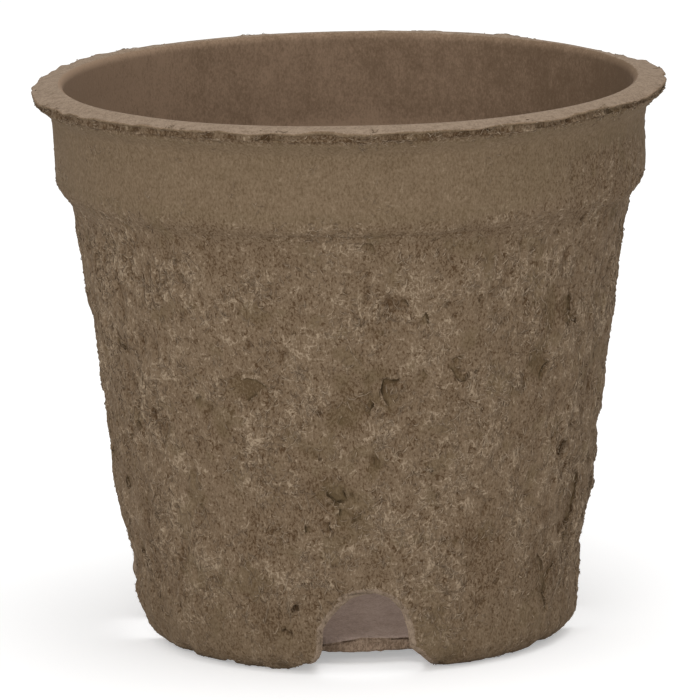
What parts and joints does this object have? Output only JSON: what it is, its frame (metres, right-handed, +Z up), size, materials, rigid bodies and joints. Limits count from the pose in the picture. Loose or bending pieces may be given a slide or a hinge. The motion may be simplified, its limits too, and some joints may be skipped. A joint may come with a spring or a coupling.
{
  "type": "peat pot",
  "caption": "Round tapered plant pot of moulded peat fibre, with an out-turned lip, a plain collar, a raised floor and arched drain openings at the foot.",
  "frame": {"origin": "centre of the circle that the pot stands on, on the ground", "axes": "+Z up along the pot's axis, -Y towards the front drain arch"},
  "size_m": [0.15, 0.15, 0.132],
  "materials": {
    "felted_fibre": "matte",
    "pressed_fibre": "matte"
  },
  "bodies": {
    "root": {"rim_lip": "pressed_fibre", "collar": "felted_fibre", "shoulder": "felted_fibre", "side_wall": "felted_fibre", "heel_front_right": "felted_fibre", "heel_back_right": "felted_fibre", "heel_back_left": "felted_fibre", "heel_front_left": "felted_fibre", "floor": "pressed_fibre"}
  },
  "joints": []
}
